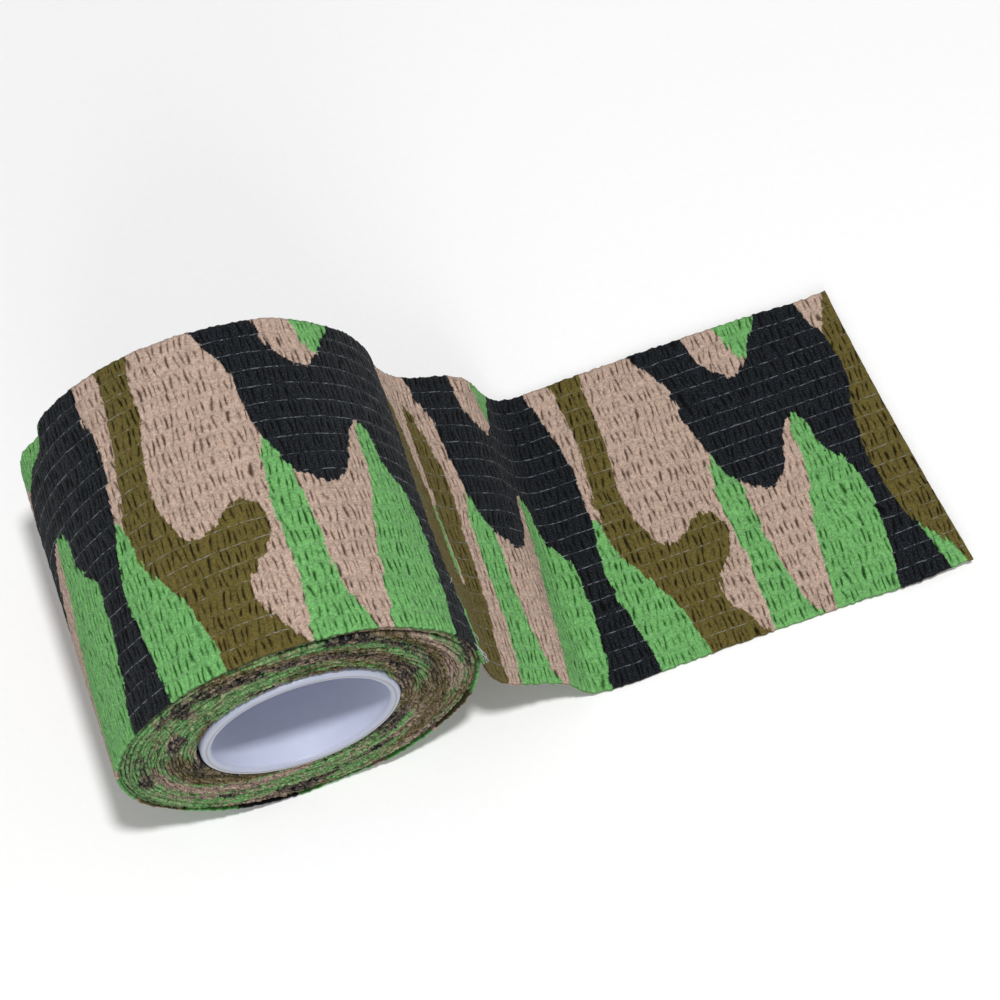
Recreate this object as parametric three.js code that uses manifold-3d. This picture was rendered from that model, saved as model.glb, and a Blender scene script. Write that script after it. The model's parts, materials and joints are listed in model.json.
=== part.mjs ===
// A roll of cohesive elastic wrap tape on its plastic core, with the tail drawn off over the table.
// Millimetres. +Z is up, +X runs along the tail and +Y along the roll's axis. The origin is on the
// table, at the middle of the length and the width that the roll and its tail take up together.
//
// The tape leaves the roll at its right-hand side, at the height of the axis (the peel line), comes
// down a ramp to the table, is folded flat there, and lies flat up to a slanted cut. It is a laminate
// of a face web, a row of elastic threads and a back web, shown as such along the tail.

import * as THREE from "three";
import { mergeVertices } from "three/addons/utils/BufferGeometryUtils.js";
import Module from "manifold-3d";

// Tape
const tapeWidth = 50;
const webThickness = 0.2;
const threadThickness = 0.2;
const threadWidth = 0.3;
const threadCount = 17;
const threadMargin = 2.6; // from the tape's edge to the middle of the first thread
const laminateGap = 0.05; // between a thread and the web on either side of it

// Winding
const rollRadius = 26.45; // outside of the outermost turn, at the peel line
const turnPitch = 0.5; // from one turn to the next
const turnThickness = 0.4; // the laminate pressed flat in the winding
const turnClearance = 0.15; // from the outermost turn to the turns that rotate inside it
const turnLap = 10; // degrees short of a full circle at which the outermost turn ends
const outerFacet = 5; // degrees between the corners of the outermost turn
const woundFacet = 15; // degrees between the corners of the inner turns
const edgeDepth = 0.5; // how deep the groove between two turns shows at an end face

// Core
const coreOuterRadius = 14.35;
const coreBoreRadius = 12.8;
const coreEdgeRadius = 0.5; // rounding of the rim's inner and outer edges
const coreSeatGap = 0.15; // from the core to the first turn
const coreSides = 48;
const coreEdgeSteps = 3;

// Tail
const rampRun = 16.9; // along X, from the peel line to the fold
const nearLength = 29; // from the fold to the middle crease
const farLength = 28.9; // from the middle crease to the front corner of the cut
const cutSlant = 3.5; // how much shorter the back edge of the tail is than the front edge
const cutBow = 0.4; // how far the cut is hollowed at mid-width
const cutSteps = 6;
const creaseGap = 0.8; // between the pieces of tape that meet at a crease
const rampSteps = 24;

// The ramp's middle surface, as shares of its run and of its drop: it leaves the roll straight down,
// swings out to a gentle slope, and drops steeply onto the table at its foot.
const rampShape = [
  [0, 1],
  [0.107, 0.785],
  [0.284, 0.61],
  [0.6, 0.43],
  [0.78, 0.285],
  [0.88, 0.12],
  [1, 0],
];

const printedGreen = 0x5ab455;
const webTan = 0xc3a08c;
const threadWhite = 0xd8d4cc;
const coreWhite = 0xccd2e8;

// Sizes that follow from the ones above
const laminateThickness = 2 * webThickness + threadThickness + 2 * laminateGap;
const halfLaminate = laminateThickness / 2;
const halfWidth = tapeWidth / 2;
const threadSpacing = (tapeWidth - 2 * threadMargin) / (threadCount - 1);
const degree = Math.PI / 180;
const outerTurnRadius = (angle) => rollRadius - (turnPitch * angle) / 360;
const axisHeight = outerTurnRadius(270) * Math.cos((outerFacet / 2) * degree);
const peelX = rollRadius - halfLaminate;
const foldX = peelX + rampRun;
const creaseX = foldX + nearLength;
const tailEndX = creaseX + farLength;

const wasm = await Module();
wasm.setup();

function toSolid(geometry) {
  const bare = geometry.clone();
  bare.deleteAttribute("normal");
  bare.deleteAttribute("uv");
  const merged = mergeVertices(bare, 1e-4);
  const vertProperties = merged.attributes.position.array;
  const triVerts = new Uint32Array(merged.index.array);
  return new wasm.Manifold(new wasm.Mesh({ numProp: 3, vertProperties, triVerts }));
}

function toGeometry(solid) {
  const { vertProperties, triVerts } = solid.getMesh();
  const geometry = new THREE.BufferGeometry();
  geometry.setAttribute("position", new THREE.BufferAttribute(vertProperties, 3));
  geometry.setIndex(new THREE.BufferAttribute(triVerts, 1));
  geometry.computeVertexNormals();
  return geometry;
}

function piece(name, geometry, color, roughness) {
  const material = new THREE.MeshStandardMaterial({ color, roughness, metalness: 0 });
  const mesh = new THREE.Mesh(geometry, material);
  mesh.name = name;
  return mesh;
}

// An outline in the XZ plane, extruded across the tape's width from yFrom to yTo.
function acrossWidth(outline, yFrom, yTo) {
  const geometry = new THREE.ExtrudeGeometry(outline, { depth: yTo - yFrom, bevelEnabled: false });
  geometry.rotateX(Math.PI / 2);
  geometry.translate(0, yTo, 0);
  return geometry;
}

// A line moved sideways. Each place on a line has a point and a unit normal towards the tape's face.
function offsetLine(line, distance) {
  return line.map((place) => place.point.clone().addScaledVector(place.normal, distance));
}

// A strip along a line in the XZ plane, from the distance low to the distance high off that line.
function stripGeometry(line, low, high, yFrom, yTo) {
  const outline = new THREE.Shape([...offsetLine(line, low), ...offsetLine(line, high).reverse()]);
  return acrossWidth(outline, yFrom, yTo);
}

// Corners of a polygon with the given facet, set so that one facet lies level at the bottom, with the
// two ends of the stretch added.
function facetAngles(from, to, facet) {
  const angles = [from];
  for (let corner = facet / 2; corner < to - facet / 4; corner += facet) {
    if (corner > from + facet / 4) {
      angles.push(corner);
    }
  }
  angles.push(to);
  return angles;
}

// The places on a spiral: radiusAt gives the radius at an angle in degrees about the roll's axis.
// Seen from the front, the angle runs anticlockwise from the peel line, or clockwise with sense -1.
function spiralLine(angles, radiusAt, sense = 1) {
  return angles.map((angle) => {
    const around = sense * angle * degree;
    const normal = new THREE.Vector2(Math.cos(around), Math.sin(around));
    return { point: normal.clone().multiplyScalar(radiusAt(angle)), normal };
  });
}

// The moulded tube that the tape is wound on: a thin wall with rounded rims.
function coreTube() {
  const edge = Math.min(coreEdgeRadius, 0.4 * (coreOuterRadius - coreBoreRadius));
  const corners = [
    [coreOuterRadius - edge, -halfWidth + edge, -90],
    [coreOuterRadius - edge, halfWidth - edge, 0],
    [coreBoreRadius + edge, halfWidth - edge, 90],
    [coreBoreRadius + edge, -halfWidth + edge, 180],
  ];
  const profile = [];
  for (const [x, y, start] of corners) {
    for (let step = 0; step <= coreEdgeSteps; step += 1) {
      const angle = (start + (90 * step) / coreEdgeSteps) * degree;
      profile.push(new THREE.Vector2(x + edge * Math.cos(angle), y + edge * Math.sin(angle)));
    }
  }
  profile.push(profile[0].clone());
  return piece("core_tube", new THREE.LatheGeometry(profile, coreSides), coreWhite, 0.45);
}

// All the turns under the outermost one: a spiral strip wound on clockwise from the core. The turns
// cling to each other, so below the grooves at the two end faces they are one solid winding.
function woundTape() {
  const start = (coreOuterRadius + coreSeatGap) / Math.cos((woundFacet / 2) * degree);
  const outermost = outerTurnRadius(360) - turnThickness - turnClearance;
  const end = (360 * (outermost - turnThickness - start)) / turnPitch;
  const stripLine = (from, to) =>
    spiralLine(facetAngles(from, to, woundFacet), (angle) => start + (turnPitch * angle) / 360, -1);
  const strip = stripGeometry(stripLine(0, end), 0, turnThickness, -halfWidth, halfWidth);
  // The winding's outline runs in the middle of the last turn and of the first one.
  const clear = woundFacet / 2;
  const outside = offsetLine(stripLine(end - 360 - clear, end - clear), turnThickness / 2);
  const inside = offsetLine(stripLine(clear, 360 + clear), turnThickness / 2);
  const outline = new THREE.Shape(outside);
  outline.holes.push(new THREE.Path(inside.reverse()));
  const winding = acrossWidth(outline, -halfWidth + edgeDepth, halfWidth - edgeDepth);
  return piece("wound_tape", toGeometry(toSolid(strip).add(toSolid(winding))), printedGreen, 0.95);
}

// The outermost turn, from the peel line back round the roll. It stays with the tail while the turns
// inside it rotate.
function outerTurn() {
  const start = (creaseGap / 2 / rollRadius) / degree;
  const angles = facetAngles(start, 360 - turnLap, outerFacet);
  const line = spiralLine(angles, outerTurnRadius);
  const geometry = stripGeometry(line, -turnThickness, 0, -halfWidth, halfWidth);
  return piece("outer_turn", geometry, printedGreen, 0.95);
}

// Where the layers of the laminate lie, measured from its middle surface.
const layers = {
  back: [-halfLaminate, -halfLaminate + webThickness],
  thread: [-threadThickness / 2, threadThickness / 2],
  face: [halfLaminate - webThickness, halfLaminate],
};

function threadEdges(index) {
  const middle = (index - (threadCount - 1) / 2) * threadSpacing;
  return [middle - threadWidth / 2, middle + threadWidth / 2];
}

function threadName(part, index) {
  return `${part}_thread_${String(index + 1).padStart(2, "0")}`;
}

// The ramp's middle surface, from just below the peel line to just short of the fold.
function rampLine() {
  const top = axisHeight - creaseGap / 2;
  const foot = halfLaminate + creaseGap / 4;
  const points = rampShape.map(
    ([run, drop]) =>
      new THREE.Vector3(peelX + run * (rampRun - creaseGap / 2), 0, foot + drop * (top - foot)),
  );
  const curve = new THREE.CatmullRomCurve3(points, false, "centripetal");
  const line = [];
  for (let step = 0; step <= rampSteps; step += 1) {
    const share = step / rampSteps;
    const point = curve.getPointAt(share);
    const along = step === 0 ? new THREE.Vector3(0, 0, -1) : curve.getTangentAt(share);
    line.push({
      point: new THREE.Vector2(point.x, point.z),
      normal: new THREE.Vector2(-along.z, along.x),
    });
  }
  return line;
}

// The stretch of tail from the peel line down to the table.
function rampPieces() {
  const line = rampLine();
  const webGeometry = (layer) => stripGeometry(line, ...layer, -halfWidth, halfWidth);
  const pieces = [
    piece("ramp_face_web", webGeometry(layers.face), printedGreen, 0.95),
    piece("ramp_back_web", webGeometry(layers.back), webTan, 0.95),
  ];
  for (let index = 0; index < threadCount; index += 1) {
    const geometry = stripGeometry(line, ...layers.thread, ...threadEdges(index));
    pieces.push(piece(threadName("ramp", index), geometry, threadWhite, 0.6));
  }
  return pieces;
}

// X of the slanted, slightly hollow cut at the tail's end, at a place across the width.
function cutX(y) {
  const across = y / halfWidth;
  return tailEndX - (cutSlant * (across + 1)) / 2 - cutBow * (1 - across * across);
}

// A flat web on the table. endX gives its far end at a place across the width.
function flatWebGeometry(startX, endX, [low, high]) {
  const outline = [
    new THREE.Vector2(startX, halfWidth),
    new THREE.Vector2(startX, -halfWidth),
  ];
  for (let step = 0; step <= cutSteps; step += 1) {
    const y = -halfWidth + (tapeWidth * step) / cutSteps;
    outline.push(new THREE.Vector2(endX(y), y));
  }
  const shape = new THREE.Shape(outline);
  const geometry = new THREE.ExtrudeGeometry(shape, { depth: high - low, bevelEnabled: false });
  geometry.translate(0, 0, halfLaminate + low);
  return geometry;
}

function flatThreadGeometry(startX, endX, index) {
  const [yFrom, yTo] = threadEdges(index);
  const length = endX((yFrom + yTo) / 2) - startX;
  const geometry = new THREE.BoxGeometry(length, threadWidth, threadThickness);
  geometry.translate(startX + length / 2, (yFrom + yTo) / 2, halfLaminate);
  return geometry;
}

// A stretch of tail that lies flat on the table: two webs and the threads between them.
function flatPieces(part, startX, endX) {
  const faceGeometry = flatWebGeometry(startX, endX, layers.face);
  const backGeometry = flatWebGeometry(startX, endX, layers.back);
  const pieces = [
    piece(`${part}_face_web`, faceGeometry, printedGreen, 0.95),
    piece(`${part}_back_web`, backGeometry, webTan, 0.95),
  ];
  for (let index = 0; index < threadCount; index += 1) {
    const geometry = flatThreadGeometry(startX, endX, index);
    pieces.push(piece(threadName(part, index), geometry, threadWhite, 0.6));
  }
  return pieces;
}

const roll = new THREE.Group();
roll.position.z = axisHeight;
roll.add(coreTube(), woundTape(), outerTurn());

const tail = new THREE.Group();
tail.add(...rampPieces());
tail.add(...flatPieces("near", foldX + creaseGap / 2, () => creaseX - creaseGap / 2));
tail.add(...flatPieces("far", creaseX + creaseGap / 2, cutX));

const wrapTape = new THREE.Group();
wrapTape.position.x = -(tailEndX - outerTurnRadius(180)) / 2;
wrapTape.add(roll, tail);

export default wrapTape;
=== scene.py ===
"""A roll of cohesive elastic wrap tape with a camouflage print, its tail drawn off over the table."""

import json
import math

import bpy
import numpy as np
from mathutils import Matrix, Vector


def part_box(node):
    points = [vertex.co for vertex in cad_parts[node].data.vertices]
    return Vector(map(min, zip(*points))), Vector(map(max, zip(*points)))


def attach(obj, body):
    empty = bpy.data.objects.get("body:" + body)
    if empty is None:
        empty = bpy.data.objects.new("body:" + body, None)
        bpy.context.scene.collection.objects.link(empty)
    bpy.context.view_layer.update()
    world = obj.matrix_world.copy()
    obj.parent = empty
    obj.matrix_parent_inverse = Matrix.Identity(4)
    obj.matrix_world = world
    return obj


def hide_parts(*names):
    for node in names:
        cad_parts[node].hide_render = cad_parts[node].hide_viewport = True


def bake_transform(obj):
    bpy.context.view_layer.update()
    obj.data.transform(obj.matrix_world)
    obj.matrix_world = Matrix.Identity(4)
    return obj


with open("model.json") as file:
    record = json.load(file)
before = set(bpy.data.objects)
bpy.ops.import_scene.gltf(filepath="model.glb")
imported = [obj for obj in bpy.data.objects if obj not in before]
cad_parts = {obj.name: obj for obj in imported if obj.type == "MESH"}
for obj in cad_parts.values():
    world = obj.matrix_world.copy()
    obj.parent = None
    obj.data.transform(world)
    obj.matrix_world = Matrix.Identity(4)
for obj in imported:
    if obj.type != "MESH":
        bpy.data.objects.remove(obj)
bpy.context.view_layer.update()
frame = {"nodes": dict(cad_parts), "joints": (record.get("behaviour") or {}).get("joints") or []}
bpy.ops.object.select_all(action="DESELECT")

# ---------------------------------------------------------------------------------------------
# The core. A thin tube of white plastic, extruded and cut to the tape's width, with its two cut
# rims turned over to a soft round edge. A faint line runs round the rim where the wall's two
# skins meet.

MM = 0.001
joints = {joint["name"]: joint for joint in frame["joints"]}
axis_x, _, axis_z = (value / MM for value in joints["roll_turn"]["pos_m"])
core_low, core_high = (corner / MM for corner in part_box("core_tube"))
core_outer = (core_high.x - core_low.x) / 2
core_half_length = (core_high.y - core_low.y) / 2
core_wall = 1.55
core_inner = core_outer - core_wall
core_sides = 160
rim_rounding, rounding_steps = 0.55, 5
rim_line_inset, rim_line_width, rim_line_depth = 0.68, 0.05, 0.06


class Signal:
    """A number that varies over a surface. Arithmetic on it adds Math nodes to its finish."""

    def __init__(self, finish, socket):
        self.finish = finish
        self.socket = socket

    def math(self, operation, *values):
        inputs = dict(enumerate([self, *values]))
        return self.finish.node("ShaderNodeMath", {"operation": operation}, inputs).signal(0)

    def __add__(self, other):
        return self.math("ADD", other)

    def __mul__(self, other):
        return self.math("MULTIPLY", other)

    def __sub__(self, other):
        return self.math("SUBTRACT", other)

    def __rsub__(self, other):
        return (self * -1.0).math("ADD", other)

    __radd__ = __add__
    __rmul__ = __mul__

    def between(self, low, high):
        """0 below low, 1 above high, and a straight climb between them."""
        return ((self - low) * (1.0 / (high - low))).math("ADD", 0.0).clamped()

    def clamped(self):
        self.socket.node.use_clamp = True
        return self


class NodeHandle:
    """A node just added, with its outputs as signals or bare sockets."""

    def __init__(self, finish, node):
        self.finish = finish
        self.node = node

    def signal(self, output):
        return Signal(self.finish, self.node.outputs[output])

    def socket(self, output):
        return self.node.outputs[output]


class Finish:
    """A material in the making. node() adds a node; the other methods name the ones used most."""

    def __init__(self, name):
        self.material = bpy.data.materials.new(name)
        self.material.use_nodes = True
        self.tree = self.material.node_tree
        self.tree.nodes.clear()

    def node(self, kind, settings=None, inputs=None):
        made = self.tree.nodes.new(kind)
        for key, value in (settings or {}).items():
            setattr(made, key, value)
        for key, value in (inputs or {}).items():
            socket = made.inputs[key]
            if isinstance(value, Signal):
                self.tree.links.new(value.socket, socket)
            elif isinstance(value, bpy.types.NodeSocket):
                self.tree.links.new(value, socket)
            else:
                socket.default_value = value
        return NodeHandle(self, made)

    def attribute(self, name):
        return self.node("ShaderNodeAttribute", {"attribute_name": name})

    def noise(self, vector, scale, detail=2.0, roughness=0.55):
        inputs = {"Vector": vector, "Scale": scale, "Detail": detail, "Roughness": roughness}
        return self.node("ShaderNodeTexNoise", None, inputs).signal("Fac")

    def mix(self, share, first, second):
        inputs = {0: share, 6: first, 7: second}
        return self.node("ShaderNodeMix", {"data_type": "RGBA"}, inputs).socket(2)

    def shade(self, color, strength):
        """A colour made lighter or darker by a signal."""
        inputs = {0: color, "Scale": strength}
        return self.node("ShaderNodeVectorMath", {"operation": "SCALE"}, inputs).socket(0)

    def bump(self, height, distance, strength=1.0):
        inputs = {"Height": height, "Distance": distance, "Strength": strength}
        return self.node("ShaderNodeBump", None, inputs).socket(0)

    def surface(self, **inputs):
        named = {key.replace("_", " "): value for key, value in inputs.items()}
        shader = self.node("ShaderNodeBsdfPrincipled", None, named).socket(0)
        self.node("ShaderNodeOutputMaterial", None, {0: shader})
        return self.material


def moulded_plastic():
    finish = Finish("core_white_plastic")
    place = finish.node("ShaderNodeTexCoord").socket("Object")
    cloud = finish.noise(place, 90.0, 3.0)
    scuff = finish.noise(place, 900.0, 4.0, 0.7)
    grain = finish.noise(place, 5200.0, 2.0)
    color = finish.mix(cloud.between(0.35, 0.7), (0.49, 0.525, 0.66, 1), (0.53, 0.56, 0.69, 1))
    from_axis = finish.node(
        "ShaderNodeVectorMath", {"operation": "MULTIPLY_ADD"},
        {0: place, 1: (1 / MM, 0, 1 / MM), 2: (-axis_x, 0, -axis_z)},
    ).socket(0)
    radius = finish.node("ShaderNodeVectorMath", {"operation": "LENGTH"}, {0: from_axis}).signal(1)
    along = finish.node("ShaderNodeSeparateXYZ", None, {0: place}).signal(1).math("ABSOLUTE")
    # Painted shade: the rounded cut rims at both ends of the tube are made darker in colour.
    rim_shade = along.between((core_half_length - 0.7) * MM, (core_half_length - 0.2) * MM)
    seam = (radius - (core_outer + core_inner) / 2).math("ABSOLUTE")
    seam = 1.0 - (seam + cloud * 0.12).between(0.10, 0.34)
    color = finish.mix(seam * 0.75, color, (0.42, 0.41, 0.37, 1))
    return finish.surface(
        Base_Color=finish.shade(color, scuff * 0.06 + rim_shade * -0.24 + 0.96),
        Roughness=scuff * 0.22 + 0.30,
        Normal=finish.bump(grain + scuff * 1.5, 0.00004, 0.35),
        Subsurface_Weight=0.15,
        Subsurface_Radius=(0.6, 0.6, 0.7),
        Subsurface_Scale=0.002,
        IOR=1.46,
    )


def on_cut_rim(vertex):
    """Whether one of the core's points lies on the cut edge of the wall's outside or inside."""
    x, y, z = vertex.co / MM - Vector((axis_x, 0, axis_z))
    radius = math.hypot(x, z)
    on_wall = min(abs(radius - core_outer), abs(radius - core_inner)) < 0.03
    return on_wall and abs(abs(y) - core_half_length) < 0.02


bpy.ops.mesh.primitive_cylinder_add(
    vertices=core_sides,
    radius=core_outer * MM,
    depth=2 * core_half_length * MM,
    end_fill_type="NOTHING",
    location=(axis_x * MM, 0, axis_z * MM),
    rotation=(math.radians(90), 0, 0),
)
core = bpy.context.object
core.name = "core"
bpy.ops.object.transform_apply(location=True, rotation=True, scale=True)
bpy.ops.object.mode_set(mode="EDIT")
bpy.ops.mesh.select_all(action="SELECT")
bpy.ops.mesh.normals_make_consistent(inside=False)
bpy.ops.object.mode_set(mode="OBJECT")
wall = core.modifiers.new("wall", "SOLIDIFY")
wall.thickness = core_wall * MM
wall.offset = -1
bpy.ops.object.modifier_apply(modifier=wall.name)
# The rim is inset to give the line where the skins meet, and that line is pressed in a little.
bpy.ops.object.mode_set(mode="EDIT")
bpy.ops.mesh.select_all(action="DESELECT")
bpy.ops.mesh.select_mode(type="FACE")
bpy.ops.object.mode_set(mode="OBJECT")
for face in core.data.polygons:
    face.select = abs(face.normal.y) > 0.9
bpy.ops.object.mode_set(mode="EDIT")
bpy.ops.mesh.inset(thickness=rim_line_inset * MM, depth=0)
bpy.ops.mesh.inset(thickness=rim_line_width * MM, depth=-rim_line_depth * MM)
bpy.ops.mesh.select_all(action="DESELECT")
bpy.ops.object.mode_set(mode="OBJECT")
# The cut edges of both walls are rounded.
weights = core.data.attributes.new("bevel_weight_edge", "FLOAT", "EDGE")
for edge in core.data.edges:
    first, second = (core.data.vertices[index] for index in edge.vertices)
    if on_cut_rim(first) and on_cut_rim(second) and first.co.y * second.co.y > 0:
        weights.data[edge.index].value = 1.0
rounding = core.modifiers.new("rounding", "BEVEL")
rounding.limit_method = "WEIGHT"
rounding.width = rim_rounding * MM
rounding.segments = rounding_steps
bpy.ops.object.modifier_apply(modifier=rounding.name)
bpy.ops.object.shade_smooth_by_angle(angle=math.radians(50))
core.data.materials.append(moulded_plastic())
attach(core, "roll")
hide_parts("core_tube")

# ---------------------------------------------------------------------------------------------
# The tape. Two webs of crinkled non-woven fabric with elastic threads between them, gathered
# when the stretched threads let go, so that short ridges stand across the tape between each
# thread and the next.

# u runs along the tape in millimetres, 0 at the peel line, positive down the tail and negative
# back round the roll. v runs across it, 0 at the front edge.
tape_low, tape_high = (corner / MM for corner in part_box("outer_turn"))
tape_width = tape_high.y - tape_low.y
turn_pitch = 0.5
peel_radius = tape_high.x - axis_x
middle_radius = peel_radius - 0.35
table_rise = 0.35
thread_count = 17
thread_margin = 2.6
thread_places = np.linspace(thread_margin, tape_width - thread_margin, thread_count)
lane_edges = np.concatenate([[0.0], thread_places, [tape_width]])
ridge_pitch = 0.92
web_core = 0.17
face_seed, back_seed = 30, 36
fibre_chance = np.random.default_rng(20)
chance = fibre_chance.random((512, 64))


def speck(first, second, seed=0):
    """A fixed random number from 0 to 1 for a pair of whole numbers."""
    rows = (np.asarray(first, int) * 7 + seed * 61) % 512
    columns = (np.asarray(second, int) * 5 + seed * 17) % 64
    return chance[rows, columns]


def drifting(x, y, seed=0):
    """Smooth random numbers from 0 to 1 over a plane, with features about one unit across."""
    x, y = np.broadcast_arrays(np.asarray(x, float), np.asarray(y, float))
    column, row = np.floor(x).astype(int), np.floor(y).astype(int)
    across, up = x - column, y - row
    across, up = across * across * (3 - 2 * across), up * up * (3 - 2 * up)
    near = speck(column, row, seed) * (1 - across) + speck(column + 1, row, seed) * across
    far = speck(column, row + 1, seed) * (1 - across) + speck(column + 1, row + 1, seed) * across
    return near * (1 - up) + far * up


def eased(share):
    share = np.clip(share, 0, 1)
    return share * share * (3 - 2 * share)


def rounded_line(points, closed=False, per_span=10):
    """A smooth line through points (a centripetal Catmull-Rom curve)."""
    guide = np.array(points, float)
    if closed:
        guide = np.concatenate([guide[-1:], guide, guide[:2]])
    else:
        guide = np.concatenate([2 * guide[:1] - guide[1:2], guide, 2 * guide[-1:] - guide[-2:-1]])
    gaps = np.sqrt(np.linalg.norm(np.diff(guide, axis=0), axis=1))
    spans = []
    for index in range(1, len(guide) - 2):
        before, start, end, after = guide[index - 1 : index + 3]
        t1, t2, t3 = np.cumsum(gaps[index - 1 : index + 2])
        t = np.linspace(t1, t2, per_span, endpoint=False)[:, None]
        a1 = (t1 - t) / t1 * before + t / t1 * start
        a2 = (t2 - t) / (t2 - t1) * start + (t - t1) / (t2 - t1) * end
        a3 = (t3 - t) / (t3 - t2) * end + (t - t2) / (t3 - t2) * after
        b1 = (t2 - t) / t2 * a1 + t / t2 * a2
        b2 = (t3 - t) / (t3 - t1) * a2 + (t - t1) / (t3 - t1) * a3
        spans.append((t2 - t) / (t2 - t1) * b1 + (t - t1) / (t2 - t1) * b2)
    if not closed:
        spans.append(guide[-2:-1])
    return np.concatenate(spans)


# The way down from the peel line to the table, as X from the roll's axis and Z, in millimetres.
# The back edge swings out a little higher than the front edge, so the ramp is slightly twisted.
front_descent = [(27.3, 19.8), (29.3, 15.9), (32.3, 12.4), (35.2, 10.0), (38.0, 7.3)]
front_descent += [(39.5, 4.0), (41.2, 1.4), (43.6, table_rise + 0.1), (47, table_rise)]
back_descent = [(27.6, 21.6), (29.8, 18.8), (33.0, 16.3), (36.1, 14.3), (38.8, 11.8)]
back_descent += [(40.3, 8.8), (41.6, 4.8), (43.3, 1.6), (45.6, table_rise + 0.1), (49, table_rise)]


def descent(points):
    """Length along one edge of the tail, and X, Z and the face's normal at each length."""
    start = [(middle_radius, axis_z + 4), (middle_radius, axis_z)]
    line = rounded_line([*start, *points, (130, table_rise)], per_span=40)[40:]
    lengths = np.concatenate([[0], np.cumsum(np.linalg.norm(np.diff(line, axis=0), axis=1))])
    even = np.arange(0, 110, 0.1)
    line = np.stack([np.interp(even, lengths, column) for column in line.T], axis=1)
    along = np.gradient(line, axis=0)
    along[0] = (0, -1)
    along /= np.linalg.norm(along, axis=1)[:, None]
    return even, line[:, 0], line[:, 1], -along[:, 1], along[:, 0]


front_edge, back_edge = descent(front_descent), descent(back_descent)
tail_lift_start, tail_lift = 74.0, 1.0
shoulder, dent_depth, dent_angle, dent_spread = 0.1, 1.4, math.radians(152), math.radians(5.5)
proud, proud_angle, proud_spread = 0.1, math.radians(163), math.radians(7)


def back_edge_dip(angle):
    """How far the outer turn's back edge dips towards the axis, where it is rounded, dented at
    one place and stands proud just past the dent."""
    angle = np.mod(angle, 2 * math.pi)
    dent = np.exp(-(((angle - dent_angle) / dent_spread) ** 2))
    flare = np.exp(-(((angle - proud_angle) / proud_spread) ** 2))
    return shoulder + dent_depth * dent - proud * flare


def middle_surface(u, v):
    """X and Z of the tape's middle surface, and its normal towards the face, in mm."""
    share = v / tape_width
    on_tail = []
    for column in range(1, 5):
        front = np.interp(u, front_edge[0], front_edge[column])
        back = np.interp(u, back_edge[0], back_edge[column])
        on_tail.append(front * (1 - share) + back * share)
    x, z, normal_x, normal_z = on_tail
    lift = eased((u - tail_lift_start) / 18) * tail_lift * (1 - 0.55 * share)
    ripple = 0.35 * eased((u - 48) / 12) * drifting(u / 11, v / 17, 5) ** 2
    z = z + lift + ripple
    angle = -np.minimum(u, 0) / (middle_radius - turn_pitch / 4)
    radius = middle_radius - turn_pitch * angle / (2 * math.pi)
    radius = radius - back_edge_dip(angle) * eased((v - 43) / 7) * eased(angle / 0.3)
    rounded = u < 0
    x = np.where(rounded, radius * np.cos(angle), x)
    z = np.where(rounded, axis_z + radius * np.sin(angle), z)
    normal_x = np.where(rounded, np.cos(angle), normal_x)
    normal_z = np.where(rounded, np.sin(angle), normal_z)
    return x + axis_x, z, normal_x, normal_z


def ridges(u, v, seed):
    """The crinkle at a place: the number of the nearest slit between two ridges, the lane between
    two threads, how far the place is from that slit in mm, and how far across the lane it is."""
    lane = np.clip(np.searchsorted(lane_edges, v, side="right") - 1, 0, len(lane_edges) - 2)
    across = (v - lane_edges[lane]) / (lane_edges[lane + 1] - lane_edges[lane])
    drift = 1.1 * drifting(u / 2.2, lane * 1.7, seed) + 0.9 * drifting(u / 6, v / 6, seed + 1)
    count = (u + drift) / ridge_pitch
    slit = np.floor(count + 0.5).astype(int)
    lean = 0.9 * (speck(slit, lane, seed + 2) - 0.5)
    bow = 1.8 * (speck(slit, lane, seed + 9) - 0.5)
    shift = 0.36 * (speck(slit, lane, seed + 10) - 0.5)
    bottom = lean * (across - 0.5) + bow * ((across - 0.5) ** 2 - 0.08) + shift
    return slit, lane, (count - slit) * ridge_pitch - bottom, across


def crinkle(u, v, seed):
    """The web's height above its lowest level, in mm, and how open to the light the place is."""
    slit, lane, distance, across = ridges(u, v, seed)
    depth = 0.35 + 0.75 * speck(slit, lane, seed + 3)
    centre = 0.5 + 0.36 * (speck(slit, lane, seed + 5) - 0.5)
    reach = 0.26 + 0.30 * speck(slit, lane, seed + 6) ** 1.5
    opening = np.sqrt(np.clip(1 - ((across - centre) / reach) ** 2, 0, 1))
    width = (0.08 + 0.11 * speck(slit, lane, seed + 11)) * (0.45 + 0.55 * opening)
    trough = depth * opening * np.exp(-((distance / width) ** 2))
    puff = np.clip(np.abs(distance) / (0.5 * ridge_pitch), 0, 1) ** 0.7
    held = np.exp(-((np.minimum(across, 1 - across) * 2.8 / 0.30) ** 2))
    lump = drifting(u / 0.40, v / 0.62, seed + 4) - 0.5
    fibre = drifting(u / 0.17, v / 0.33, seed + 12) - 0.5
    raised = 0.13 + 0.10 * puff * (1 - 0.7 * held) - 0.05 * held - 0.22 * trough
    raised = raised + 0.12 * lump + 0.08 * fibre
    # How open to the light a place is, painted into the colour later as shade: darkest in the slits, a
    # little darker by the threads and in the hollows of the lumps and fibres.
    open_share = (1 - trough) * (0.64 + 0.36 * puff) * (1 - 0.10 * held) + 0.44 * lump + 0.34 * fibre
    return np.maximum(raised, 0.0), np.clip(open_share, 0, 1)


# The print. A camouflage of four flat colours that repeats along the tape: tan cloth, with
# green, olive and black laid over it in that order. It was printed on the stretched web, so
# its edges step from lane to lane and from ridge to ridge. Outlines are (s, v) in millimetres.

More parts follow.
